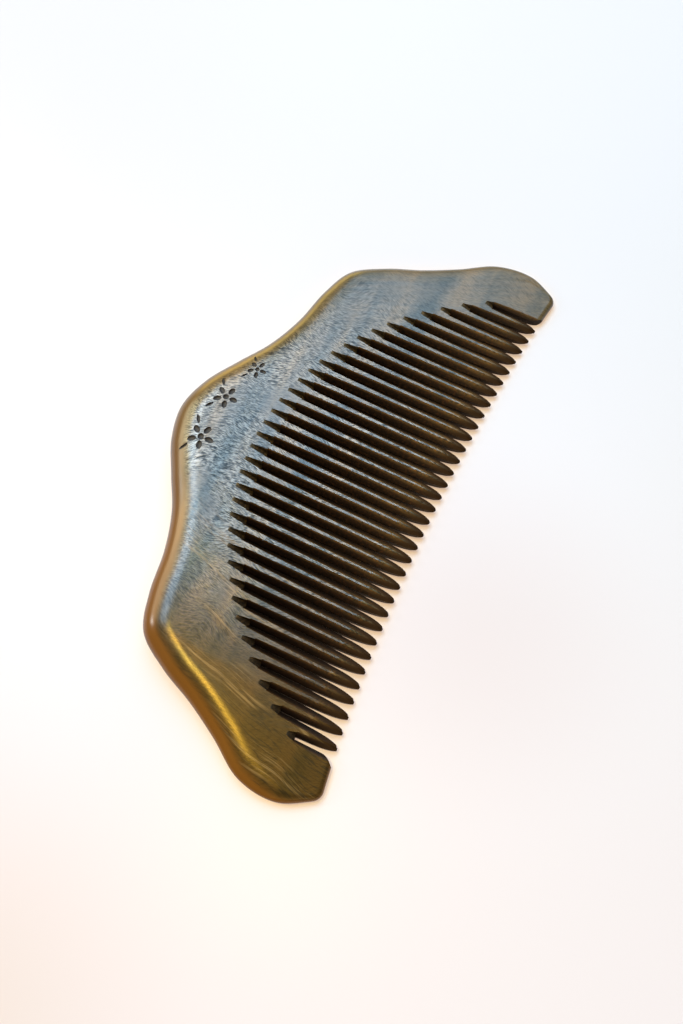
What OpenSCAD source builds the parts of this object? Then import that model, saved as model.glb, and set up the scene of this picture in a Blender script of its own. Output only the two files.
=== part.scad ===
// A one-piece wooden comb: a thick waisted back with a centre hump and two end lobes,
// a row of straight teeth sawn into its thin front edge, and a broad guard at each end.
// It lies as it rests on a table: its lower face flat on z = 0, its length along X,
// its teeth towards +Y. The origin is under the middle of its bounding box.

/* [Comb] */
// Length, across the two end lobes
comb_l = 156; // [135:1:180]
// Width, from the hump on the back to the ends of the guards
comb_w = 76.8; // [73:0.2:82]
// Thickness at the back edge, before it is rounded
back_t = 13.2; // [10:0.1:15]
// Thickness at the ends of the guards
end_t = 2.4; // [1.6:0.1:3]
// Width of the round-over along the back
rim_w = 6.8; // [2:0.1:7]

/* [Teeth] */
// Number of teeth between the guards
teeth_n = 34; // [26:1:38]
// Width of each guard, from the middle of the outermost slot
guard_w = 15.1; // [13:0.1:17]
// Share of the tooth spacing that a slot takes at mid-thickness
slot_share = 0.1; // [0.08:0.01:0.3]
// Length of the tapered point on each tooth
point_l = 7.4; // [4:0.1:10]
// How far the tooth line falls back from the guards' ends at the middle of the comb
tip_rise = 4.7; // [2:0.1:6]

/* [Slot roots] */
// Distance from the back to the first groove at the middle of the comb
root_y = 23; // [20:0.1:24]
// Half-length of the ellipse that the slot roots follow, as a share of the comb's length
root_reach = 0.498; // [0.49:0.002:0.52]
// Half-width of the ellipse that the slot roots follow
root_ry = 94; // [84:1:96]
// How far the middle of that ellipse lies off the middle of the comb
root_shift = -1.1; // [-2:0.1:2]
// Length of the ramp at each slot root, as a share of half the thickness there
ramp_slope = 0.88; // [0.6:0.02:1.2]
// Half-width of that ramp where it starts in the face
ramp_half = 0.5; // [0.3:0.05:0.7]
// Angle from upright of the V groove that bevels the teeth
groove_angle = 28; // [20:1:40]

/* [Hidden] */

wood_brown = [0.42, 0.36, 0.27];

// Spacing of the teeth and half-width of a slot at mid-thickness
pitch = (comb_l - 2 * guard_w) / teeth_n;
slot_half = pitch * slot_share / 2;
slots_half = comb_l / 2 - guard_w;   // from the middle of the comb to its outermost slots

// The V grooves and the ramps, which bevel the teeth and the slot roots on both faces
groove_root_share = 0.32;   // half-width of a groove at the root, as a share of the spacing
groove_tip_share = 0.45;    // the same at the tooth tips
groove_depth_share = 0.62;  // the deepest that a groove gets, as a share of half the thickness
ramp_depth_share = 0.55;    // depth at the end of a ramp, as a share of half the thickness
ramp_spread = 1.5;          // how much wider a ramp's floor is at its end than at its start
ramp_mouth_share = 0.27;    // half-width of a ramp's mouth at its end, as a share of the spacing
ramp_clear = 0.3;           // how far the shape that cuts a ramp stands above the face
groove_clear = 0.5;         // how far the shape that cuts a groove stands above the face
groove_over = 0.09;         // how far its sides run on above the face, as a share of its depth
seam = 0.1;                 // how far a slot's ramps and grooves run into each other

// Half of the outline along the back, from the hump's crown to the guard's outer corner:
// [share of the half length, share of the width]
HALF_BACK = [
    [0.000, 0.000],  // crown of the hump
    [0.120, 0.029],  // side of the hump
    [0.232, 0.093],  // slope
    [0.344, 0.161],  // slope
    [0.471, 0.208],  // dip
    [0.612, 0.236],  // dip
    [0.729, 0.285],  // shoulder
    [0.800, 0.396],  // shoulder
    [0.852, 0.519],  // waist
    [0.912, 0.635],  // waist
    [0.982, 0.755],  // lobe
    [0.992, 0.885],  // lobe
    [0.934, 1.000]   // guard's outer corner
];
half_n = len(HALF_BACK);
steps = 4;            // pieces that each stretch of the back is cut into
corner_r = 3;         // rounding of the guard's outer corner, seen from above
corner_steps = 4;
end_rim = 1.3;        // round-over at the end of a guard
rim_fade = 0.82;      // share of the back where its round-over starts to narrow
profile_steps = 5;    // pieces from mid-thickness up to a face
tip_line_steps = 8;
point_steps = 5;      // pieces in the taper of a tooth, seen from above
clear = 2;            // how far the cutting shapes stand out of the wood
guard_flare = 0.47;   // rounding of a guard's inner corner, as a share of the spacing
guard_gap = 0.11;     // what a slot is wider beside a guard, as a share of the spacing
guard_point_l = 3.2;  // length of the rounding of a guard's inner corner
tooth_flare = 0.33;   // taper of a tooth's flank, as a share of the spacing
tooth_taper = 1.5;    // length of that taper, as a share of the point's length
slow_share = 0.4;     // share of a flank's taper that grows evenly; the rest is its rounded end
round_stop = 0.3;     // where a groove bends down at a tip, as a share of the point's length

// Half the thickness at a distance y from the back, and the slope of each face
face_slope = (back_t - end_t) / 2 / comb_w;
function half_t(y) = back_t / 2 - face_slope * y;
wedge_angle = atan(face_slope);

// Root of the slot at x: where its ramp starts in the face, and where the slot itself starts
root_rx = comb_l * root_reach;
function ramp_y(x) = root_y + root_ry * (1 - sqrt(1 - pow((x - root_shift) / root_rx, 2)));
function slot_y(x) = ramp_y(x) + ramp_slope * half_t(ramp_y(x));

// Line of the tooth tips
corner_x = HALF_BACK[half_n - 1][0] * comb_l / 2;
function tip_y(x) = comb_w - tip_rise * (1 - pow(x / corner_x, 2));

// Smooth curve through the rows of the table, run from the left corner to the right one
back_rows = concat(
    [for (i = [half_n - 1:-1:1]) [-HALF_BACK[i][0] * comb_l / 2, HALF_BACK[i][1] * comb_w]],
    [for (i = [0:half_n - 1]) [HALF_BACK[i][0] * comb_l / 2, HALF_BACK[i][1] * comb_w]]);
last_row = len(back_rows) - 1;
function row_at(i) =
    i < 0 ? 2 * back_rows[0] - back_rows[1]
    : i > last_row ? 2 * back_rows[last_row] - back_rows[last_row - 1]
    : back_rows[i];
function curve(a, b, c, d, t) =
    0.5 * (2 * b + (c - a) * t + (2 * a - 5 * b + 4 * c - d) * t * t
           + (3 * b - a - 3 * c + d) * t * t * t);
function back_point(s) =
    let (i = min(floor(s), last_row - 1))
    curve(row_at(i - 1), row_at(i), row_at(i + 1), row_at(i + 2), s - i);

function unit(v) = v / norm(v);
function left_of(v) = [-v[1], v[0]];

// The guard's outer corner, rounded between the lobe and the guard's end
near = 0.1;           // how far back along the curve its direction is taken
lobe_dir = unit(back_rows[last_row] - back_point(last_row - near));
corner_turn = acos(-lobe_dir[0]);
corner_cut = corner_r * tan(corner_turn / 2);
corner_start = back_rows[last_row] - lobe_dir * corner_cut;
corner_centre = corner_start + left_of(lobe_dir) * corner_r;
function corner_point(k) =
    let (a = 90 - corner_turn + corner_turn * k / corner_steps)
    corner_centre + corner_r * [cos(a), sin(a)];
function flip(p) = [-p[0], p[1]];

// Width of the round-over along the back, narrowing towards the guards' corners
function rim_at(s) =
    let (out = abs(2 * s / last_row - 1), fade = max(0, (out - rim_fade) / (1 - rim_fade)))
    rim_w + (end_rim - rim_w) * fade * fade * (3 - 2 * fade);

// Outline of the blank seen from above, anticlockwise: [x, y, width of its round-over]
curve_n = last_row * steps;
spare = 1;            // points of the curve that the corner rounding replaces
join = slot_half / 2;  // the guards' ends meet the tooth line inside the outermost slots
back_edge = [for (k = [spare:curve_n - spare])
    let (p = back_point(k / steps)) [p[0], p[1], rim_at(k / steps)]];
right_corner = [for (k = [0:corner_steps])
    let (p = corner_point(k)) [p[0], p[1], end_rim]];
left_corner = [for (k = [corner_steps:-1:0])
    let (p = flip(corner_point(k))) [p[0], p[1], end_rim]];
tip_edge = [for (k = [0:tip_line_steps])
    let (x = (slots_half - join) * (1 - 2 * k / tip_line_steps)) [x, tip_y(x), point_l]];
right_end = [[slots_half + join, tip_y(slots_half + join), end_rim]];
left_end = [[-slots_half - join, tip_y(slots_half + join), end_rim]];
back_chain = concat(left_end, left_corner, back_edge, right_corner, right_end);
back_n = len(back_chain);
edge = concat(back_chain, tip_edge);
edge_n = len(edge);

function flat(v) = [v[0], v[1]];
function edge_flat(i) = flat(edge[(i + edge_n) % edge_n]);
on_tip_line = [for (i = [0:edge_n - 1]) edge[i][2] == point_l];
function inward(i) =
    on_tip_line[i] ? [0, -1]
    : left_of(unit(unit(edge_flat(i + 1) - edge_flat(i)) + unit(edge_flat(i) - edge_flat(i - 1))));

// One ring of the blank at an angle of its round-over: -90 is the lower face, 90 the upper
function ring(a) = [for (i = [0:edge_n - 1])
    let (p = edge_flat(i) + inward(i) * edge[i][2] * (1 - cos(a)))
    [p[0], p[1], half_t(p[1]) * sin(a)]];
ring_n = 2 * profile_steps + 1;
blank_points = [for (k = [0:ring_n - 1]) each ring(-90 + 180 * k / (ring_n - 1))];

// A face's flat is cut into triangles between the back and the tooth line. Each point of the
// back joins the tooth-line point that lies across from it.
function across(k) =
    round(max(0, min(1, (back_chain[k][0] / slots_half + 1) / 2)) * tip_line_steps);
function tip_index(j) = back_n + tip_line_steps - j;
flat_faces = [for (k = [0:back_n - 2])
    each concat(
        [[k, k + 1, tip_index(across(k))]],
        across(k + 1) > across(k)
            ? [for (j = [across(k):across(k + 1) - 1]) [k + 1, tip_index(j + 1), tip_index(j)]]
            : [])];
top_start = (ring_n - 1) * edge_n;
blank_faces = concat(
    flat_faces,
    [for (f = flat_faces) [f[2] + top_start, f[1] + top_start, f[0] + top_start]],
    [for (k = [0:ring_n - 2], i = [0:edge_n - 1], half = [0, 1])
        let (j = (i + 1) % edge_n, a = k * edge_n + i, b = k * edge_n + j)
        half == 0 ? [a, a + edge_n, b] : [b, a + edge_n, b + edge_n]]);

module blank() {
    polyhedron(points = blank_points, faces = blank_faces, convexity = 6);
}

// Through slot, seen from above: parallel sides that open out round the tooth tips
function is_guard(beside) = abs(beside) > slots_half;
function taper_bend(t) = slow_share * t + (1 - slow_share) * pow(t, 5);
function flank(x, side) =
    let (beside = x + side * pitch / 2,
         guard = is_guard(beside),
         tip = tip_y(beside),
         wide = slot_half + (guard ? guard_gap * pitch : 0),
         reach = guard ? guard_point_l : tooth_taper * point_l,
         taper = min(reach, tip - slot_y(x) - slot_half),
         flare = pitch * (guard ? guard_flare : tooth_flare))
    concat(
        [[x + side * wide, slot_y(x)]],
        [for (k = [0:point_steps])
            let (t = 1 - pow(1 - k / point_steps, 2), bend = guard ? t * t : taper_bend(t))
            [x + side * (wide + flare * bend), tip - taper * (1 - t)]],
        [[x + side * (wide + flare), tip + clear]]);

module through_slot(x) {
    left = flank(x, -1);
    right = flank(x, 1);
    linear_extrude(height = back_t + clear, center = true)
        polygon(concat(left, [for (i = [len(right) - 1:-1:0]) right[i]]));
}

// Ramp in the upper face, where the saw runs out: it slopes down to the slot's root
module ramp(x) {
    y1 = slot_y(x) + seam;
    depth = ramp_depth_share * half_t(y1);
    low = half_t(y1) - depth;
    high = half_t(y1) + ramp_clear;
    y0 = ramp_y(x) - (y1 - ramp_y(x)) * ramp_clear / depth;
    start = half_t(y0) + ramp_clear;
    floor_half = ramp_half * ramp_spread;
    mouth_half = pitch * ramp_mouth_share;
    polyhedron(
        points = [
            [x - ramp_half, y0, start],
            [x + ramp_half, y0, start],
            [x - floor_half, y1, low],
            [x + floor_half, y1, low],
            [x - mouth_half, y1, high],
            [x + mouth_half, y1, high]],
        faces = [[0, 4, 5, 1], [0, 1, 3, 2], [0, 2, 4], [1, 5, 3], [2, 3, 5, 4]]);
}

// Height of the upper face over the middle plane, rounded down at the tip of a tooth and
// carried on in a line beyond it
function round_height(s) = sqrt(1 - pow(1 - s, 2));
function rounding(s) = s < 0 ? s * round_height(round_stop) / round_stop : round_height(min(s, 1));
function face_z(y, tip, guard) = half_t(y) * (guard ? 1 : rounding((tip - y) / point_l));

// V groove in the upper face, from the slot's root to the tips: it bevels the teeth. Its sides
// run on in a line above the face, so that they cross the face at an angle.
function groove_section(x, y) =
    let (y1 = slot_y(x),
         tip = tip_y(x),
         t = min(1, (y - y1) / (tip - y1)),
         half = pitch * (groove_root_share
             + (groove_tip_share - groove_root_share) * (1 - (1 - t) * (1 - t))),
         depth = min(half / tan(groove_angle), groove_depth_share * half_t(y)),
         left = face_z(y, tip, is_guard(x - pitch / 2)),
         right = face_z(y, tip, is_guard(x + pitch / 2)),
         over = groove_over * depth)
    [[x - half * (1 + groove_over), y, left + over],
     [x, y, min(left, right) - depth],
     [x + half * (1 + groove_over), y, right + over],
     [x, y, half_t(y) + groove_clear]];

module groove(x) {
    y1 = slot_y(x);
    tip = tip_y(x);
    taper = min(point_l, (1 - round_stop) * (tip - y1));
    stops = [y1 - seam, tip - taper, tip - round_stop * taper, tip + clear];
    points = [for (y = stops) each groove_section(x, y)];
    n = len(groove_section(x, y1));
    last = n * (len(stops) - 1);
    polyhedron(
        points = points,
        faces = concat(
            [[for (i = [n - 1:-1:0]) i]],
            [[for (i = [0:n - 1]) last + i]],
            [for (k = [0:n:last - n], i = [0:n - 1], half = [0, 1])
                let (j = (i + 1) % n)
                half == 0 ? [k + i, k + j, k + n + i] : [k + j, k + n + j, k + n + i]]),
        convexity = 4);
}

module slots() {
    for (i = [0:teeth_n]) {
        x = (i - teeth_n / 2) * pitch;
        through_slot(x);
        ramp(x);
        mirror([0, 0, 1]) ramp(x);
        groove(x);
        mirror([0, 0, 1]) groove(x);
    }
}

// Turns the wedge so that its lower face lies on z = 0, under the middle of its box
function laid(p) = [
    p[0],
    p[1] * cos(wedge_angle) + p[2] * sin(wedge_angle),
    p[2] * cos(wedge_angle) - p[1] * sin(wedge_angle)];
laid_y = [for (p = blank_points) laid(p)[1]];
middle_y = (min(laid_y) + max(laid_y)) / 2;
lift = back_t / 2 * cos(wedge_angle);

module comb() {
    color(wood_brown)
        translate([0, -middle_y, lift])
            rotate([-wedge_angle, 0, 0])
                difference() {
                    blank();
                    slots();
                }
}

comb();
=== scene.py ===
"""The looks of a one-piece wooden comb on a pale table.

Lengths are in millimetres until the comb is laid down in the frame, which is in metres. The comb's
back is at low y, the tips of its teeth are at high y, and the guard nearer the camera is at high x.
"""

import math

import bpy
import numpy as np
from mathutils import Matrix, Quaternion, Vector


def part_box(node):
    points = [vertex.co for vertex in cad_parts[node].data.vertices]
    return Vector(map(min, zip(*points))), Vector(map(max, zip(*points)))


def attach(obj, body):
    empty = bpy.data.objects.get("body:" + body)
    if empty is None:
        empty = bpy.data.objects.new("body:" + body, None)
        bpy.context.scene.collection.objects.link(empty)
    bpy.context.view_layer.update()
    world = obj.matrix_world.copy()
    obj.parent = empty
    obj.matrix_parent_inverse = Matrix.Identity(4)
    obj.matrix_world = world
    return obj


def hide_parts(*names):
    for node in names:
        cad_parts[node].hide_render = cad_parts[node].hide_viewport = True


MM = 0.001

# The board, with the sizes of the solid
COMB_L = 156.0
COMB_W = 76.8
BACK_T = 13.2
END_T = 2.4
RIM_W = 6.8  # width of the round-over along the back
END_RIM = 1.3  # the same at the end of a guard
RIM_FADE = 0.82  # share of the back where it starts to narrow
CORNER_R = 3.0
TEETH_N = 34
GUARD_W = 15.1  # from the comb's end to the middle of its outermost slot
POINT_L = 7.4  # length of the rounded point on each tooth
TIP_RISE = 4.7  # how far the tooth line falls back at the comb's middle

# The slots' roots, with the sizes of the solid: the ellipse that they follow, and the run-out ramps
ROOT_Y = 23.0
ROOT_REACH = 0.498  # half-length of the ellipse, as a share of the comb's length
ROOT_RY = 94.0
ROOT_SHIFT = -1.1
RAMP_SLOPE = 0.88  # length of a ramp, as a share of half the thickness
RAMP_DEPTH_SHARE = 0.55  # depth at its end, as a share of half the thickness
RAMP_HALF = 0.5  # half-width of its floor at the start
RAMP_SPREAD = 0.5  # how much wider the floor is at its end, as a share of that width
RAMP_MOUTH_SHARE = 0.27  # half-width of its mouth at the end, as a share of the spacing

# The V grooves and the flanks of the teeth, with the sizes of the solid
GROOVE_ROOT_SHARE = 0.32  # half-width of a groove at the root, as a share of the spacing
GROOVE_TIP_SHARE = 0.45  # the same at the tips
GROOVE_ANGLE = math.radians(28.0)
GROOVE_DEPTH_SHARE = 0.62  # the deepest that it gets, as a share of half the thickness
TIP_TAPER_SHARE = 0.7  # the most of a groove's length that its bend at the tip takes
GUARD_FLARE = 0.47  # rounding of a guard's inner corner, as a share of the spacing
GUARD_POINT_L = 3.2  # length of that rounding
TOOTH_FLARE = 0.33  # taper of a tooth's flank, as a share of the spacing
TOOTH_TAPER = 1.5  # length of that taper, as a share of the point's length
SLOW_SHARE = 0.4  # share of that taper that grows evenly
TIP_POWER = 5  # how suddenly the rest of it sets in

# What differs a little from the solid
HUMP_RIM_W = 9.0  # the round-over is wider at the hump
HUMP_RIM_FADE = (0.36, 0.62)  # shares of the back between which it narrows to the usual width
SLOT_SHARE = 0.05  # share of the spacing that a slot takes at mid-thickness
GUARD_OPENING = 0.12  # what a slot is wider beside a guard, as a share of the spacing
LIP_POWER = 1.12  # 1 would make the sides of a groove flat

# Half of the outline along the back: share of the half length, share of the width
HALF_BACK = (
    (0.000, 0.000),
    (0.120, 0.029),
    (0.232, 0.093),
    (0.344, 0.161),
    (0.471, 0.208),
    (0.612, 0.236),
    (0.729, 0.285),
    (0.800, 0.396),
    (0.852, 0.519),
    (0.912, 0.635),
    (0.982, 0.755),
    (0.992, 0.885),
    (0.934, 1.000),
)

ROOT_RX = COMB_L * ROOT_REACH
PITCH = (COMB_L - 2 * GUARD_W) / TEETH_N
SLOT_HALF = PITCH * SLOT_SHARE / 2
SLOTS_HALF = COMB_L / 2 - GUARD_W
FACE_SLOPE = (BACK_T - END_T) / 2 / COMB_W
WEDGE = math.atan(FACE_SLOPE)
CORNER_X = HALF_BACK[-1][0] * COMB_L / 2

# How finely the curves are cut
BACK_STEPS = 10
CORNER_STEPS = 10
RIM_STEPS = 15
TIP_STEPS = 3 * TEETH_N
POINT_STEPS = 14
LIP_STEPS = 6
GROOVE_STEPS = 10
TIP_GROOVE_STEPS = 8
RAMP_STEPS = 5
PIT_RINGS = 5
PIT_SIDES = 20
CORNER_GAP = 0.05  # points of the back this near the rounded corner are left out
SHARP_ANGLE = math.radians(32)  # edges that bend by more stay sharp

# How far the cutting shapes go beyond the wood
CLEAR = 2.0  # beyond the faces and the tips
OUT = 0.3  # above the upper face
RAMP_LEAD = 0.12  # before a ramp's start, as a share of its length

# The burnt ornament in the hump: middle and size of each blossom
BLOSSOMS = ((7.3, 10.9, 7.6), (-5.4, 11.2, 7.0), (-16.2, 14.6, 5.6))
PIT_DEPTH = 0.4
PIT_END = 0.98  # share of the quarter turn, from the rim of a pit down, at which its floor is flat

# A blossom's pits as shares of its size: half-lengths and half-widths, and distances from its middle
SEED = (0.11, 0.11)
PETAL = (0.155, 0.10)
PETAL_REACH = 0.31
PETALS_N = 5
FIRST_PETAL = 90  # degrees: it points away from the back
LEAF = (0.17, 0.055)
LEAF_REACH = 0.66
LEAF_TURN = 126  # degrees from the first petal, to either side

# The camera: where it stands, the point on the table that it looks at, and its turn about that line
CAMERA_AT = (81.16, 67.58, 206.75)
CAMERA_AIM = (7.46, 11.72, 0.0)
CAMERA_ROLL = math.radians(-12.2)
LENS = 31.29
SENSOR = 36.0
CLIP_START = 10.0

# Noises in the wood: frequency across the teeth, frequency along them, detail, roughness, distortion
BROAD_FIBRE = (4.4, 0.65, 2, 0.6, 0.0)
FINE_FIBRE = (5.5, 1.1, 1, 0.5, 0.0)
CALM_PATCH = (0.06, 0.09, 1, 0.5, 0.0)
BAND = (0.022, 0.14, 2, 0.5, 0.4)
LINE = (0.55, 0.05, 3, 0.65, 0.4)
VEIN = (1.3, 0.05, 3, 0.6, 0.0)
BUNDLE = (0.15, 0.03, 1, 0.5, 0.0)
CRACK = (0.75, 0.07, 2, 0.5, 0.0)
SAWN_FIBRE = (2.0, 1.3, 3, 0.6, 0.0)
SAWN_FIBRE_DOWN = 1.6
SWAY_SCALE = 0.05
NOISE_MIDDLE = 0.5

# Third coordinates that set the flat noises apart from one another
PATCH_LAYER = 7.0
BAND_LAYER = 3.0
LINE_LAYER = 17.0
VEIN_LAYER = 11.0
BUNDLE_LAYER = 5.0
CRACK_LAYER = 23.0

# How far the figure leans and wanders
STREAK_SWAY = 16.0
VEIN_SWAY = 5.0
VEIN_LEAN = math.radians(15)
LINE_SLANT = 0.45

# Parts of a noise that count: from here to there, and the values that they give
BROAD_EDGE = (0.36, 0.56)
FINE_EDGE = (0.35, 0.65)
PATCH_EDGE = (0.46, 0.66)
VEIN_EDGE = (0.48, 0.66)
BUNDLE_EDGE = (0.48, 0.62)
CRACK_EDGE = (0.0, 0.035, 0.8, 0.0)
BAND_GLOSS = (0.3, 0.7, 0.85, 1.15)

# Looks that change along x: from here to there, and the values that they have at those places
LOW_END = (20.0, 62.0)  # browner and calmer towards the near guard
RIM_SPREAD = (-40.0, 50.0, 0.45, 1.0)  # at the far end, the amber sets in deeper
FAR_CALM = (-62.0, -18.0, 0.72, 0.0)
LINE_STRENGTH = (-60.0, -20.0, 0.5, 0.15)
# the rim's painted warm light grows redder towards the near guard
AMBER_TURN = (-30.0, 50.0)
VEIN_START = (5.0, 35.0)
CRACK_START = (50.0, 66.0)
FAR_GLOSS = (-50.0, -5.0, 0.84, 1.0)
GUARD_SHEEN_START = (48.0, 68.0)
SAWN_SHADOW = (0.0, 45.0)
SLOT_SHADE_REACH_ENDS = (54.0, 62.0, 1.0, 2.6)  # beside the guards, the painted shade in the slots sets in at less depth

# Looks that change along y, below the nearer face, and back from the tips
SLOT_SHADE_REACH = (34.0, 70.0, 3.2, 1.1)  # near the roots, the painted shade in the slots sets in at less depth
RIM_EDGE = (0.06, 0.85)
AMBER_DARKENS = (2.0, 5.5)
# depths at which the painted shade in the slots darkens
SAWN_EDGE = (0.1, 0.8)
SAWN_MIDDLE = (0.8, 2.2)
# where the painted shade on the teeth's tips sets in, back from the tips
TIP_EDGE = (0.8, 7.0, 1.0, 0.0)

# How strong each look is
BROAD_SHARE = 0.65
FINE_SHARE = 0.35
PATCH_CALM = 0.6
LOW_CALM = 0.78
RIM_CALM = 0.95
CALM_STREAK = 0.6  # what the streaks fade to where they are calm
AMBER_SHARE = 0.9
VEIN_SHARE = 0.65
STREAK_GLOSS = 0.75
LEAST_GLOSS = 0.08
TIP_GLOSS = -0.7  # what the tips lose
SAWN_UNEVEN = 1.4  # how far the sawn colours stray, in mm of depth

# Colours of the wood
STREAK_COLOURS = (
    (0.0, (0.010, 0.011, 0.009)),
    (0.4, (0.060, 0.042, 0.018)),
    (0.7, (0.130, 0.085, 0.034)),
    (1.0, (0.260, 0.180, 0.080)),
)
BAND_TINTS = (
    (0.32, (0.62, 0.72, 0.80)),
    (0.50, (0.95, 0.97, 0.97)),
    (0.68, (1.20, 1.08, 0.92)),
)
BAND_SHEENS = (
    (0.34, (0.52, 0.80, 1.00)),
    (0.50, (0.76, 0.89, 1.00)),
    (0.66, (0.92, 0.90, 0.88)),
)
SAWN_SHADES = (
    (0.3, (0.35, 0.35, 0.35)),
    (0.5, (0.90, 0.90, 0.90)),
    (0.7, (2.60, 2.20, 1.60)),
)
LOW_TINT = (0.52, 0.40, 0.21)
# The rim's amber: the wood's own colour with painted warm light, redder towards the near guard, and
# darker deeper down the edge
AMBER_FAR = (0.122, 0.066, 0.014)
AMBER_NEAR = (0.180, 0.066, 0.008)
AMBER_DEEP = (0.065, 0.018, 0.002)
VEIN_COLOUR = (0.260, 0.155, 0.058)
CRACK_COLOUR = (0.020, 0.013, 0.006)
# painted shade on the tips of the teeth
TIP_SHADE_COLOUR = (0.026, 0.012, 0.004)
LOW_SHEEN = (0.50, 0.53, 0.56)
BUNDLE_SHEEN = (0.80, 0.56, 0.37)
GUARD_SHEEN = (0.62, 0.48, 0.22)
SAWN_SHADOW_TINT = (0.50, 0.46, 0.44)
# painted shade on the sawn tips of the teeth
SAWN_TIP_SHADE_COLOUR = (0.034, 0.015, 0.004)

# Sawn wood at the face, just below it and in the middle of the thickness: painted shade, darker the
# deeper it lies in a slot or ramp
SAWN_COLOURS = ((0.090, 0.047, 0.013), (0.020, 0.009, 0.003), (0.010, 0.0046, 0.0017))
RAMP_COLOURS = ((0.085, 0.068, 0.042), (0.072, 0.055, 0.033), (0.045, 0.032, 0.018))

# The table in metres: where its glow changes, and the colours of the glow
TABLE_HALF = 4.0
TABLE_TURN = (-0.12, 0.12)
TABLE_RIGHT = (-0.02, 0.11)
TABLE_CORNER_X = (0.08, 0.16)
TABLE_CORNER_Y = (-0.02, 0.05, 1.0, 0.0)
# where the painted soft shadow round the teeth's tips has its middle, and how far it reaches
TIPS_AT = (0.020, 0.052, 0.0)
TIPS_SHADOW_REACH = (0.0, 0.055, 1.0, 0.0)
# the painted warm glow where the table meets the comb, by how hemmed in the table is there
CONTACT = (0.55, 1.0, 0.8, 0.0)
GLOW_FAR = (0.355, 0.355, 0.41)
GLOW_NEAR = (0.485, 0.405, 0.435)
GLOW_CONTACT = (0.62, 0.42, 0.26)
RIGHT_TINT = (1.04, 1.10, 1.06)
CORNER_TINT = (0.90, 0.78, 0.60)
# tint of the painted soft shadow round the teeth's tips
TIPS_SHADOW_TINT = (0.88, 0.78, 0.75)

# Soft lights that face the comb: middle, direction of the long side, size, colour and radiance
LIGHTS = {
    "sky": ((-252, -40, 600), (1, 0, 0), (365, 310), (0.50, 0.75, 1.0), 6.0),
    "sky_end": ((-555, 60, 600), (0, 1, 0), (230, 150), (0.44, 0.76, 1.0), 2.0),
    "window": ((-760, -60, 300), (0, 1, 0), (620, 300), (0.72, 0.87, 1.0), 1.5),
    "yellow_strip": ((92, -73, 600), (70, 78, 0), (80, 18), (1.0, 0.72, 0.15), 340.0),
    "blue_side": ((-640, -230, 560), (0, 1, 0), (500, 330), (0.55, 0.78, 1.0), 3.2),
    "white_strip": ((-130, -310, 600), (1, 0.1, 0), (460, 200), (0.74, 0.88, 1.0), 12.0),
    "gold_strip": ((-120, -840, 640), (1, 0, 0), (640, 600), (1.0, 0.84, 0.50), 5.2),
    "olive_strip": ((-720, -680, 120), (1, -1, 0), (560, 220), (1.0, 0.66, 0.16), 4.5),
    "glint": ((257, -806, 494), (1, 0, 0), (70, 110), (1.0, 0.98, 0.95), 60.0),
    "warm_side": ((520, 260, 300), (0, 1, 0), (500, 260), (1.0, 0.80, 0.50), 0.9),
}
ONLY_MIRRORED = ("gold_strip", "olive_strip")  # these are seen in reflections only
ROOM_COLOUR = (1.0, 0.95, 0.88)
ROOM_STRENGTH = 0.22


def half_thickness(y):
    return BACK_T / 2 - FACE_SLOPE * y


def groove_start(x):
    return ROOT_Y + ROOT_RY * (1 - math.sqrt(1 - ((x - ROOT_SHIFT) / ROOT_RX) ** 2))


def ramp_length(x):
    return RAMP_SLOPE * half_thickness(groove_start(x))


def slot_start(x):
    return groove_start(x) + ramp_length(x)


def tip_line(x):
    return COMB_W - TIP_RISE * (1 - (x / CORNER_X) ** 2)


def unit(v):
    return v / np.linalg.norm(v)


def left_of(v):
    return np.array((-v[1], v[0]))


def curve_through(rows, steps):
    """Points of a smooth curve through the rows, with the end rows carried on in a line."""
    padded = np.vstack((2 * rows[0] - rows[1], rows, 2 * rows[-1] - rows[-2]))
    points = []
    for i in range(len(rows) - 1):
        a, b, c, d = padded[i : i + 4]
        for k in range(steps):
            t = k / steps
            points.append(
                0.5
                * (
                    2 * b
                    + (c - a) * t
                    + (2 * a - 5 * b + 4 * c - d) * t**2
                    + (3 * b - a - 3 * c + d) * t**3
                )
            )
    points.append(rows[-1])
    return np.array(points)


def rounded_corner(corner, direction):
    """Points of the guard's outer corner, from the lobe to the guard's end."""
    turn = math.acos(-direction[0])
    start = corner - direction * CORNER_R * math.tan(turn / 2)
    centre = start + left_of(direction) * CORNER_R
    angles = [math.pi / 2 - turn * (1 - k / CORNER_STEPS) for k in range(CORNER_STEPS + 1)]
    return start, np.array([centre + CORNER_R * np.array((math.cos(a), math.sin(a))) for a in angles])


def eased(low, high, value):
    """0 below low, 1 above high and smooth in between."""
    t = min(1.0, max(0.0, (value - low) / (high - low)))
    return t * t * (3 - 2 * t)


def rim_width(share):
    """Width of the round-over, from the share of the back between its middle and the corner."""
    shoulder = eased(*HUMP_RIM_FADE, share)
    corner = eased(RIM_FADE, 1.0, share)
    return HUMP_RIM_W + (RIM_W - HUMP_RIM_W) * shoulder + (END_RIM - RIM_W) * corner


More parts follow.
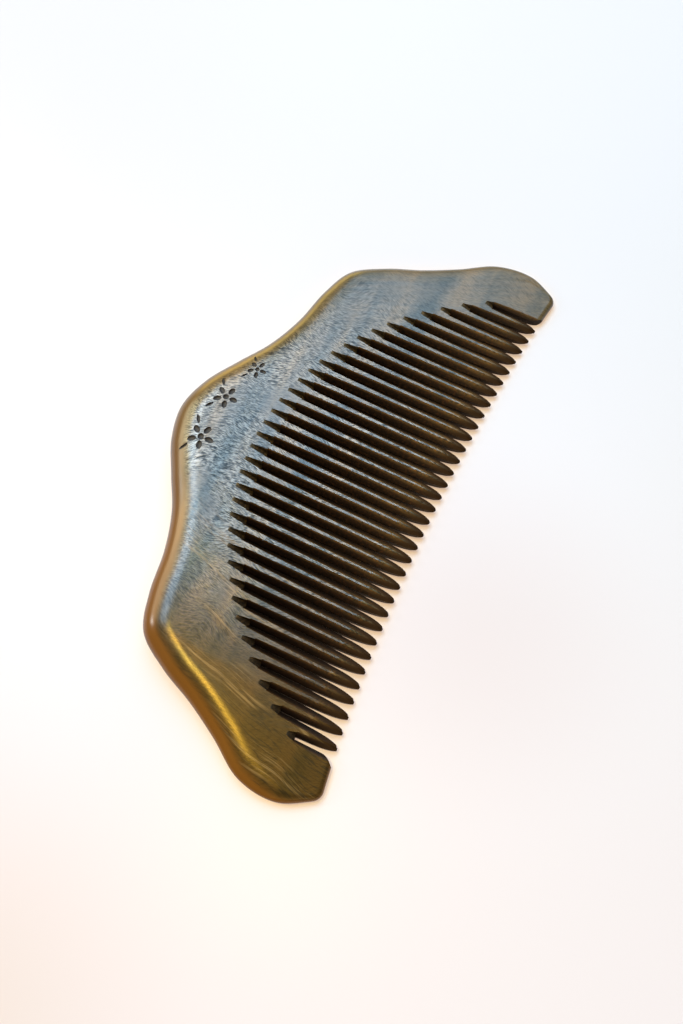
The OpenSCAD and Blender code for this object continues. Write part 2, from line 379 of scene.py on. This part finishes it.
def blank_edge():
    """The outline seen from above, anticlockwise, as rows of x, y and width of the round-over."""
    half = np.array(HALF_BACK) * (COMB_L / 2, COMB_W)
    right = curve_through(np.vstack(((-half[1][0], half[1][1]), half)), BACK_STEPS)[BACK_STEPS:]
    direction = unit(right[-1] - right[-2])
    start, corner = rounded_corner(half[-1], direction)
    shares = np.linspace(0, 1, len(right))
    side = []
    for i, (p, share) in enumerate(zip(right, shares)):
        if (p - start) @ direction < -CORNER_GAP or i < len(right) // 2:
            side.append((p[0], p[1], rim_width(share)))
    side += [(p[0], p[1], END_RIM) for p in corner]
    join = SLOTS_HALF + SLOT_HALF / 2
    side.append((join, tip_line(join), END_RIM))
    other_side = [(-x, y, r) for x, y, r in reversed(side[1:])]
    inner = SLOTS_HALF - SLOT_HALF / 2
    tips = [(x, tip_line(x), POINT_L) for x in np.linspace(inner, -inner, TIP_STEPS + 1)]
    return np.array(other_side + side + tips)


def mesh_object(name, points, faces):
    mesh = bpy.data.meshes.new(name)
    mesh.from_pydata([tuple(p) for p in points], [], faces)
    mesh.update()
    made = bpy.data.objects.new(name, mesh)
    bpy.context.scene.collection.objects.link(made)
    return made


def blank(edge):
    """The comb before its teeth are sawn: rings of the outline from the lower face to the upper."""
    n = len(edge)
    flat = edge[:, :2]
    along = np.roll(flat, -1, 0) - flat
    along /= np.linalg.norm(along, axis=1)[:, None]
    tangent = along + np.roll(along, 1, 0)
    tangent /= np.linalg.norm(tangent, axis=1)[:, None]
    inward = np.stack((-tangent[:, 1], tangent[:, 0]), 1)
    inward[edge[:, 2] == POINT_L] = (0, -1)
    rings = []
    for a in np.linspace(-math.pi / 2, math.pi / 2, 2 * RIM_STEPS + 1):
        ring = flat + inward * (edge[:, 2] * (1 - math.cos(a)))[:, None]
        height = half_thickness(ring[:, 1]) * math.sin(a)
        rings.append(np.column_stack((ring, height)))
    points = np.vstack(rings)
    top = (len(rings) - 1) * n
    faces = [tuple(reversed(range(n))), tuple(range(top, top + n))]
    for k in range(len(rings) - 1):
        for i in range(n):
            j = (i + 1) % n
            faces.append((k * n + i, k * n + j, (k + 1) * n + j, (k + 1) * n + i))
    return mesh_object("comb_wood", points, faces)


def is_guard(x):
    return abs(x) > SLOTS_HALF


def flank(x, side):
    """One side of a slot seen from above: straight, then opening out round the tooth's tip."""
    beside = x + side * PITCH / 2
    guard = is_guard(beside)
    flare = PITCH * (GUARD_FLARE if guard else TOOTH_FLARE)
    wide = SLOT_HALF + (PITCH * GUARD_OPENING if guard else 0.0)
    tip = tip_line(beside)
    reach = GUARD_POINT_L if guard else TOOTH_TAPER * POINT_L
    taper = min(reach, tip - slot_start(x) - SLOT_HALF)
    points = [(x + side * wide, slot_start(x))]
    for k in range(POINT_STEPS + 1):
        t = 1 - (1 - k / POINT_STEPS) ** 2
        bend = t * t if guard else SLOW_SHARE * t + (1 - SLOW_SHARE) * t**TIP_POWER
        points.append((x + side * (wide + flare * bend), tip - taper * (1 - t)))
    points.append((x + side * (wide + flare), tip + CLEAR))
    return points


def slot_shape(x):
    """The saw cut, as points and faces."""
    outline = flank(x, -1) + list(reversed(flank(x, 1)))
    n = len(outline)
    high = BACK_T / 2 + CLEAR
    points = [(px, py, z) for z in (-high, high) for px, py in outline]
    faces = [tuple(range(n)), tuple(reversed(range(n, 2 * n)))]
    for i in range(n):
        j = (i + 1) % n
        faces.append((i, n + i, n + j, j))
    return points, faces


def lofted(sections):
    """A closed solid through rows of points, each row a ring with the same count."""
    n = len(sections[0])
    points = [p for row in sections for p in row]
    last = (len(sections) - 1) * n
    faces = [tuple(range(n)), tuple(reversed(range(last, last + n)))]
    for k in range(len(sections) - 1):
        for i in range(n):
            j = (i + 1) % n
            faces.append((k * n + i, (k + 1) * n + i, (k + 1) * n + j, k * n + j))
    return points, faces


def mirrored(shape):
    """The same shape at the lower face."""
    points, faces = shape
    return [(px, py, -pz) for px, py, pz in points], [tuple(reversed(f)) for f in faces]


def ramp_shape(x):
    """Where the saw runs out in the upper face: a blunt ramp down to the slot's root."""
    start = groove_start(x)
    depth = RAMP_DEPTH_SHARE * half_thickness(slot_start(x))
    sections = []
    for t in np.linspace(-RAMP_LEAD, 1.0, RAMP_STEPS + 1):
        y = start + t * ramp_length(x)
        z = half_thickness(y)
        bottom = RAMP_HALF * (1 + RAMP_SPREAD * max(t, 0))
        lip = RAMP_HALF + (PITCH * RAMP_MOUTH_SHARE - RAMP_HALF) * max(t, 0)
        low = z - depth * t
        side = ((lip, z + OUT), (lip, max(z, low)), (bottom, low))
        row = [(x - half, y, height) for half, height in side]
        row += [(x + half, y, height) for half, height in reversed(side)]
        sections.append(row)
    return lofted(sections)


def face_height(x, y, beside):
    """Height of the upper face over the middle plane. A tooth's face is rounded down at its tip."""
    if is_guard(beside):
        return half_thickness(y)
    share = min(1.0, max(0.0, tip_line(x) - y) / POINT_L)
    return half_thickness(y) * math.sqrt(1 - (1 - share) ** 2)


def groove_shape(x):
    """The V groove that bevels the teeth in the upper face, from the slot's root to beyond the tips."""
    start, end = slot_start(x), tip_line(x)
    taper = min(POINT_L, TIP_TAPER_SHARE * (end - start))
    places = list(np.linspace(start, end - taper, GROOVE_STEPS, endpoint=False))
    places += [end - taper * math.cos(a) for a in np.linspace(0, math.pi / 2, TIP_GROOVE_STEPS)]
    places.append(end + CLEAR)
    shares = np.linspace(-1, 1, 2 * LIP_STEPS + 1)
    sections = []
    for y in places:
        t = min(1.0, (y - start) / (end - start))
        spread = (GROOVE_TIP_SHARE - GROOVE_ROOT_SHARE) * (1 - (1 - t) ** 2)
        half = PITCH * (GROOVE_ROOT_SHARE + spread)
        depth = min(half / math.tan(GROOVE_ANGLE), GROOVE_DEPTH_SHARE * half_thickness(y))
        high = half_thickness(y) + OUT
        row = [(x - half, y, high)]
        for u in shares:
            lip = min(face_height(x, y, x + math.copysign(PITCH / 2, u)), high - OUT / 2)
            row.append((x + half * u, y, lip - depth * (1 - abs(u)) ** LIP_POWER))
        row.append((x + half, y, high))
        sections.append(row)
    return lofted(sections)


def hump_height(x, y, edge):
    """Height of the upper face over the middle plane, near the hump's rounded edge."""
    inset = np.hypot(edge[:, 0] - x, edge[:, 1] - y).min()
    return half_thickness(y) * math.sqrt(1 - max(0.0, 1 - inset / HUMP_RIM_W) ** 2)


def pit_shape(x, y, length, width, turn, edge):
    """A long oval pit in the upper face, as the lower half of a squashed ball with a lid on it."""
    c, s = math.cos(turn), math.sin(turn)
    sections = []
    for a in np.linspace(0, PIT_END * math.pi / 2, PIT_RINGS):
        row = []
        for k in range(PIT_SIDES):
            b = 2 * math.pi * k / PIT_SIDES
            along = length * math.cos(a) * math.cos(b)
            aside = width * math.cos(a) * math.sin(b)
            px, py = x + along * c - aside * s, y + along * s + aside * c
            row.append((px, py, hump_height(px, py, edge) - PIT_DEPTH * math.sin(a)))
        sections.append(row)
    lid = [(px, py, pz + OUT) for px, py, pz in sections[0]]
    return lofted([lid] + sections)


def blossom_shapes(x, y, size, edge):
    """Five petals round a seed, and two leaves beside them."""
    pits = [(0, 0, SEED)]
    pits += [(FIRST_PETAL + 360 / PETALS_N * k, PETAL_REACH, PETAL) for k in range(PETALS_N)]
    pits += [(FIRST_PETAL + side * LEAF_TURN, LEAF_REACH, LEAF) for side in (-1, 1)]
    shapes = []
    for degrees, reach, (length, width) in pits:
        turn = math.radians(degrees)
        at = (x + reach * size * math.cos(turn), y + reach * size * math.sin(turn))
        shapes.append(pit_shape(*at, length * size, width * size, turn, edge))
    return shapes


def joined(name, shapes):
    """One object with all the shapes, which don't touch one another."""
    points, faces = [], []
    for more_points, more_faces in shapes:
        start = len(points)
        points += more_points
        faces += [tuple(start + i for i in f) for f in more_faces]
    return mesh_object(name, points, faces)


def cut(target, cutter):
    """Takes the cutter's shape away from the target and drops the cutter."""
    modifier = target.modifiers.new("cut", "BOOLEAN")
    modifier.operation = "DIFFERENCE"
    modifier.solver = "MANIFOLD"
    modifier.object = cutter
    bpy.context.view_layer.objects.active = target
    bpy.ops.object.modifier_apply(modifier=modifier.name)
    bpy.data.objects.remove(cutter)


def lay_down(obj, low, high):
    """Turns the wedge onto its lower face and fits it into the solid's box, in metres."""
    mesh = obj.data
    co = np.zeros(len(mesh.vertices) * 3)
    mesh.vertices.foreach_get("co", co)
    co = co.reshape(-1, 3)
    c, s = math.cos(WEDGE), math.sin(WEDGE)
    y = co[:, 1] * c + co[:, 2] * s
    z = co[:, 2] * c - co[:, 1] * s
    laid = np.column_stack((co[:, 0], y, z))
    have_low, have_high = laid.min(0), laid.max(0)
    low, high = np.array(low), np.array(high)
    laid = low + (laid - have_low) * (high - low) / (have_high - have_low)
    mesh.vertices.foreach_set("co", laid.ravel())
    mesh.update()


class Tree:
    """Short calls for building one material's nodes."""

    def __init__(self, name):
        self.material = bpy.data.materials.new(name)
        self.material.use_nodes = True
        self.nodes = self.material.node_tree.nodes
        self.links = self.material.node_tree.links
        self.nodes.clear()

    def node(self, kind, inputs=None, **settings):
        made = self.nodes.new("ShaderNode" + kind)
        for key, value in settings.items():
            setattr(made, key, value)
        for key, value in (inputs or {}).items():
            self.put(made.inputs[key], value)
        return made

    def put(self, socket, value):
        if isinstance(value, bpy.types.NodeSocket):
            self.links.new(value, socket)
        elif isinstance(value, (tuple, list)) and socket.type == "RGBA" and len(value) == 3:
            socket.default_value = (*value, 1)
        else:
            socket.default_value = value

    def math(self, operation, a, b=0.0, c=0.0, clamp=False):
        made = self.node("Math", {0: a, 1: b, 2: c}, operation=operation, use_clamp=clamp)
        return made.outputs[0]

    def times(self, a, b, clamp=False):
        return self.math("MULTIPLY", a, b, clamp=clamp)

    def minus(self, a, b):
        return self.math("SUBTRACT", a, b)

    def mix(self, factor, a, b, blend="MIX"):
        """A mix of colours, which are this node's inputs 6 and 7 and its output 2."""
        made = self.node("Mix", data_type="RGBA", blend_type=blend, clamp_factor=True)
        for socket, value in ((0, factor), (6, a), (7, b)):
            self.put(made.inputs[socket], value)
        return made.outputs[2]

    def mix_values(self, factor, a, b):
        """A mix of plain numbers, which are the same node's inputs 2 and 3 and its output 0."""
        return self.node("Mix", {0: factor, 2: a, 3: b}).outputs[0]

    def tinted(self, factor, colour, tint):
        """The colour, multiplied by the tint as far as the factor says."""
        return self.mix(factor, colour, self.mix(1.0, colour, tint, "MULTIPLY"))

    def smooth(self, value, low, high, to_low=0.0, to_high=1.0):
        inputs = {
            "Value": value,
            "From Min": low,
            "From Max": high,
            "To Min": to_low,
            "To Max": to_high,
        }
        return self.node("MapRange", inputs, interpolation_type="SMOOTHSTEP").outputs[0]

    def combine(self, x, y, z):
        return self.node("CombineXYZ", {0: x, 1: y, 2: z}).outputs[0]

    def noise(self, place, scale, detail, roughness=0.5, distortion=0.0):
        inputs = {
            "Vector": place,
            "Scale": scale,
            "Detail": detail,
            "Roughness": roughness,
            "Distortion": distortion,
        }
        return self.node("TexNoise", inputs).outputs[0]

    def grain(self, x, y, z, figure):
        """Noise with a frequency of its own across the teeth and along them."""
        across, along, detail, roughness, distortion = figure
        place = self.combine(self.times(x, across), self.times(y, along), z)
        return self.noise(place, 1.0, detail, roughness, distortion)

    def ramp(self, value, stops):
        made = self.node("ValToRGB", {0: value})
        elements = made.color_ramp.elements
        while len(elements) < len(stops):
            elements.new(0.5)
        for element, (place, colour) in zip(elements, stops):
            element.position = place
            element.color = (*colour, 1)
        return made.outputs[0]

    def finish(self, shader):
        self.node("OutputMaterial", {"Surface": shader.outputs[0]})
        return self.material


def place_in_mm(tree):
    """The x, y and z of the shaded point: y from the back's crown, z from the lower face."""
    place = tree.node("TexCoord").outputs["Object"]
    mm = tree.node("VectorMath", {0: place, 3: 1 / MM}, operation="SCALE").outputs[0]
    x, y, z = tree.node("SeparateXYZ", {0: mm}).outputs
    return x, tree.math("ADD", y, COMB_W / 2), z


def depth_in_mm(tree, y, z):
    """Depth of the shaded point below the nearer face."""
    face = tree.math("MULTIPLY_ADD", y, -2 * math.sin(WEDGE), BACK_T * math.cos(WEDGE))
    return tree.math("MINIMUM", tree.minus(face, z), z)


def tip_shade(tree, x, y):
    """Where painted shade darkens the teeth's tips: 1 at the tips of the teeth, 0 on the guards and on
    the rest of the comb.
    """
    share = tree.math("POWER", tree.math("DIVIDE", tree.math("ABSOLUTE", x), CORNER_X), 2.0)
    line = tree.math("MULTIPLY_ADD", share, TIP_RISE, COMB_W - TIP_RISE)
    near = tree.smooth(tree.minus(line, y), *TIP_EDGE)
    tooth = tree.math("LESS_THAN", tree.math("ABSOLUTE", x), SLOTS_HALF)
    return tree.times(near, tooth)


def fine_streaks(tree, place, sway, low, rim):
    """Fine streaks along the teeth, 0 to 1. They are calm in patches, at both guards and at the rim."""
    x, y, z = place
    across = tree.math("MULTIPLY_ADD", sway, STREAK_SWAY, x)
    broad = tree.smooth(tree.grain(across, y, z, BROAD_FIBRE), *BROAD_EDGE)
    fine = tree.smooth(tree.grain(across, y, z, FINE_FIBRE), *FINE_EDGE)
    streak = tree.math("ADD", tree.times(broad, BROAD_SHARE), tree.times(fine, FINE_SHARE))
    calm = tree.smooth(tree.grain(x, y, PATCH_LAYER, CALM_PATCH), *PATCH_EDGE)
    calm = tree.math("MAXIMUM", tree.times(calm, PATCH_CALM), tree.times(low, LOW_CALM))
    calm = tree.math("MAXIMUM", calm, tree.smooth(x, *FAR_CALM))
    calm = tree.math("MAXIMUM", calm, tree.times(rim, RIM_CALM))
    return tree.mix_values(calm, streak, CALM_STREAK)


def broad_bands(tree, x, y):
    """Broad bands along the back, with thin slanted lines in them."""
    band = tree.grain(x, y, BAND_LAYER, BAND)
    slant = tree.math("MULTIPLY_ADD", y, LINE_SLANT, x)
    line = tree.minus(tree.grain(slant, y, LINE_LAYER, LINE), NOISE_MIDDLE)
    return tree.math("MULTIPLY_ADD", line, tree.smooth(x, *LINE_STRENGTH), band)


def pale_veins(tree, x, y, aside, rim):
    """Pale veins towards the near guard, and the bundles that they lie in."""
    vein = tree.smooth(tree.grain(aside, y, VEIN_LAYER, VEIN), *VEIN_EDGE)
    bundle = tree.smooth(tree.grain(aside, y, BUNDLE_LAYER, BUNDLE), *BUNDLE_EDGE)
    there = tree.times(tree.smooth(x, *VEIN_START), tree.minus(VEIN_SHARE, rim))
    return tree.times(tree.times(vein, bundle), there, clamp=True), bundle


def dark_cracks(tree, x, y, aside, rim):
    """Thin dark lines on the near guard."""
    crack = tree.minus(tree.grain(aside, y, CRACK_LAYER, CRACK), NOISE_MIDDLE)
    crack = tree.smooth(tree.math("ABSOLUTE", crack), *CRACK_EDGE)
    crack = tree.times(crack, tree.smooth(x, *CRACK_START))
    return tree.times(crack, tree.minus(1.0, rim), clamp=True)


def wood_material():
    """Polished green sandalwood, with an amber rim that is partly painted warm light."""
    tree = Tree("polished_wood")
    x, y, z = place_in_mm(tree)
    depth = depth_in_mm(tree, y, z)
    rim = tree.smooth(tree.times(depth, tree.smooth(x, *RIM_SPREAD)), *RIM_EDGE)
    low = tree.smooth(x, *LOW_END)
    sway = tree.noise(tree.combine(x, y, z), SWAY_SCALE, 1)
    wander = tree.math("MULTIPLY_ADD", sway, VEIN_SWAY, x)
    aside = tree.math("MULTIPLY_ADD", y, -math.tan(VEIN_LEAN), wander)
    streak = fine_streaks(tree, (x, y, z), sway, low, rim)
    band = broad_bands(tree, x, y)
    vein, bundle = pale_veins(tree, x, y, aside, rim)
    crack = dark_cracks(tree, x, y, aside, rim)
    tip = tip_shade(tree, x, y)

    colour = tree.ramp(streak, STREAK_COLOURS)
    colour = tree.mix(1.0, colour, tree.ramp(band, BAND_TINTS), "MULTIPLY")
    colour = tree.tinted(low, colour, LOW_TINT)
    # the rim's amber, partly painted warm light
    amber = tree.mix(tree.smooth(x, *AMBER_TURN), AMBER_FAR, AMBER_NEAR)
    amber = tree.mix(tree.smooth(depth, *AMBER_DARKENS), amber, AMBER_DEEP)
    colour = tree.mix(tree.times(rim, AMBER_SHARE), colour, amber)
    colour = tree.mix(vein, colour, VEIN_COLOUR)
    colour = tree.mix(crack, colour, CRACK_COLOUR)
    # painted shade on the teeth's tips
    colour = tree.mix(tip, colour, TIP_SHADE_COLOUR)

    gloss = tree.math("MULTIPLY_ADD", streak, STREAK_GLOSS, LEAST_GLOSS)
    gloss = tree.times(gloss, tree.smooth(band, *BAND_GLOSS))
    gloss = tree.times(gloss, tree.math("MULTIPLY_ADD", tip, TIP_GLOSS, 1.0))
    gloss = tree.times(gloss, tree.smooth(x, *FAR_GLOSS))
    sheen = tree.mix(low, tree.ramp(band, BAND_SHEENS), tree.mix(bundle, LOW_SHEEN, BUNDLE_SHEEN))
    sheen = tree.mix(tree.smooth(x, *GUARD_SHEEN_START), sheen, GUARD_SHEEN)
    bump = tree.node("Bump", {"Strength": 0.15, "Distance": 0.0001, "Height": streak})
    shader = tree.node(
        "BsdfPrincipled",
        {
            "Base Color": colour,
            "Roughness": 0.24,
            "IOR": 1.6,
            "Specular IOR Level": gloss,
            "Specular Tint": sheen,
            "Normal": bump.outputs[0],
        },
    )
    return tree.finish(shader)


def sawn_material(name, edge, inner, deep):
    """Sawn wood, in one colour at the polished face, one below it and one deep in the slots: painted
    shade that darkens with depth, and more towards the near guard and at the tips.
    """
    tree = Tree(name)
    x, y, z = place_in_mm(tree)
    fibre = tree.grain(x, y, tree.times(z, SAWN_FIBRE_DOWN), SAWN_FIBRE)
    uneven = tree.times(tree.minus(fibre, NOISE_MIDDLE), SAWN_UNEVEN)
    # painted shade: the slots darken sooner near the roots and beside the guards
    shade_reach = tree.smooth(y, *SLOT_SHADE_REACH)
    shade_reach = tree.times(shade_reach, tree.smooth(tree.math("ABSOLUTE", x), *SLOT_SHADE_REACH_ENDS))
    depth = tree.times(tree.math("ADD", depth_in_mm(tree, y, z), uneven), shade_reach)
    # painted shade: the deeper in the slot, the darker
    colour = tree.mix(tree.smooth(depth, *SAWN_EDGE), edge, inner)
    colour = tree.mix(tree.smooth(depth, *SAWN_MIDDLE), colour, deep)
    colour = tree.mix(1.0, colour, tree.ramp(fibre, SAWN_SHADES), "MULTIPLY")
    colour = tree.tinted(tree.smooth(x, *SAWN_SHADOW), colour, SAWN_SHADOW_TINT)
    # painted shade on the sawn tips of the teeth
    colour = tree.mix(tip_shade(tree, x, y), colour, SAWN_TIP_SHADE_COLOUR)
    shader = tree.node(
        "BsdfPrincipled",
        {"Base Color": colour, "Roughness": 0.5, "IOR": 1.5, "Specular IOR Level": 0.12},
    )
    return tree.finish(shader)


def burnt_material():
    """The burnt-in ornament."""
    tree = Tree("burnt_wood")
    shader = tree.node(
        "BsdfPrincipled",
        {"Base Color": (0.014, 0.008, 0.004), "Roughness": 0.55, "IOR": 1.4},
    )
    return tree.finish(shader)


def floor_material():
    """A pale table that glows with painted light, so that it shows almost no shadow: cool far off, warm
    near by, with a painted soft shadow round the teeth's tips and a painted warm glow where it meets
    the comb.
    """
    tree = Tree("pale_table")
    place = tree.node("TexCoord").outputs["Object"]
    x, y = tree.node("SeparateXYZ", {0: place}).outputs[:2]
    # painted light: the table glows, cool far off and warm near by
    glow = tree.mix(tree.smooth(x, *TABLE_TURN), GLOW_FAR, GLOW_NEAR)
    glow = tree.tinted(tree.smooth(y, *TABLE_RIGHT), glow, RIGHT_TINT)
    corner = tree.times(tree.smooth(x, *TABLE_CORNER_X), tree.smooth(y, *TABLE_CORNER_Y))
    glow = tree.tinted(corner, glow, CORNER_TINT)
    from_tips = tree.node("VectorMath", {0: place, 1: TIPS_AT}, operation="DISTANCE").outputs["Value"]
    # painted soft shadow round the teeth's tips
    glow = tree.tinted(tree.smooth(from_tips, *TIPS_SHADOW_REACH), glow, TIPS_SHADOW_TINT)
    open_sky = tree.node("AmbientOcclusion", {"Distance": 0.012}).outputs["AO"]
    # painted warm glow where the table meets the comb
    glow = tree.mix(tree.smooth(open_sky, *CONTACT), glow, GLOW_CONTACT)
    shader = tree.node(
        "BsdfPrincipled",
        {
            "Base Color": (0.36, 0.34, 0.33),
            "Roughness": 0.35,
            "IOR": 1.3,
            "Emission Color": glow,
            "Emission Strength": 1.0,
        },
    )
    return tree.finish(shader)


def comb_piece(low, high):
    edge = blank_edge()
    wood = blank(edge)
    slots = [(i - TEETH_N / 2) * PITCH for i in range(TEETH_N + 1)]
    sawn = sawn_material("sawn_wood", *SAWN_COLOURS)
    ramp = sawn_material("ramp_wood", *RAMP_COLOURS)
    burnt = burnt_material()
    for material in (wood_material(), sawn, ramp, burnt):
        wood.data.materials.append(material)
    cutters = [
        ([slot_shape(x) for x in slots], sawn),
        ([ramp_shape(x) for x in slots], ramp),
        ([mirrored(ramp_shape(x)) for x in slots], ramp),
        ([groove_shape(x) for x in slots], sawn),
        ([mirrored(groove_shape(x)) for x in slots], sawn),
    ]
    cutters += [([shape], burnt) for place in BLOSSOMS for shape in blossom_shapes(*place, edge)]
    for shapes, material in cutters:
        cutter = joined("cutter", shapes)
        cutter.data.materials.append(material)
        cut(wood, cutter)
    lay_down(wood, low, high)
    wood.data.shade_smooth()
    wood.data.set_sharp_from_angle(angle=SHARP_ANGLE)
    modifier = wood.modifiers.new("normals", "WEIGHTED_NORMAL")
    modifier.keep_sharp = True
    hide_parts("comb")
    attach(wood, "root")


def floor():
    corners = [(x * TABLE_HALF, y * TABLE_HALF, 0) for x, y in ((-1, -1), (1, -1), (1, 1), (-1, 1))]
    made = mesh_object("table", corners, [(0, 1, 2, 3)])
    made.data.materials.append(floor_material())


def panel(name, at, along, size, colour, radiance):
    """A soft light that faces the comb, its long side in the given direction."""
    light = bpy.data.lights.new(name, "AREA")
    light.shape = "RECTANGLE"
    light.size, light.size_y = (s * MM for s in size)
    light.color = colour
    light.energy = radiance * math.pi * light.size * light.size_y
    back = Vector(at).normalized()
    up = back.cross(Vector(along)).normalized()
    made = bpy.data.objects.new(name, light)
    made.matrix_world = Matrix((up.cross(back), up, back)).transposed().to_4x4()
    made.location = [c * MM for c in at]
    made.visible_diffuse = name not in ONLY_MIRRORED
    bpy.context.scene.collection.objects.link(made)


def lights():
    for name, row in LIGHTS.items():
        panel(name, *row)
    world = bpy.data.worlds.new("studio")
    world.use_nodes = True
    background = world.node_tree.nodes["Background"]
    background.inputs["Color"].default_value = (*ROOM_COLOUR, 1)
    background.inputs["Strength"].default_value = ROOM_STRENGTH
    bpy.context.scene.world = world


def camera():
    data = bpy.data.cameras.new("camera")
    data.lens = LENS
    data.sensor_width = SENSOR
    data.clip_start = CLIP_START * MM
    made = bpy.data.objects.new("camera", data)
    made.location = [c * MM for c in CAMERA_AT]
    made.rotation_mode = "QUATERNION"
    turn = (Vector(CAMERA_AIM) - Vector(CAMERA_AT)).to_track_quat("-Z", "Y")
    made.rotation_quaternion = turn @ Quaternion((0, 0, 1), CAMERA_ROLL)
    bpy.context.scene.collection.objects.link(made)
    bpy.context.scene.camera = made


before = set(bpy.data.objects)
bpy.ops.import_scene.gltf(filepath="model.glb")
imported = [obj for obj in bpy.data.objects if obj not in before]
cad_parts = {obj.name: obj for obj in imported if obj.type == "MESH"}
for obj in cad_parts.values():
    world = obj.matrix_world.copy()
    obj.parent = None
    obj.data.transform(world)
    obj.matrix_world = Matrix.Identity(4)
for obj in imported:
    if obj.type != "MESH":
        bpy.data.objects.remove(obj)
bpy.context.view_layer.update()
camera()
comb_piece(*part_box("comb"))
floor()
lights()
bpy.context.scene.view_settings.view_transform = "Standard"
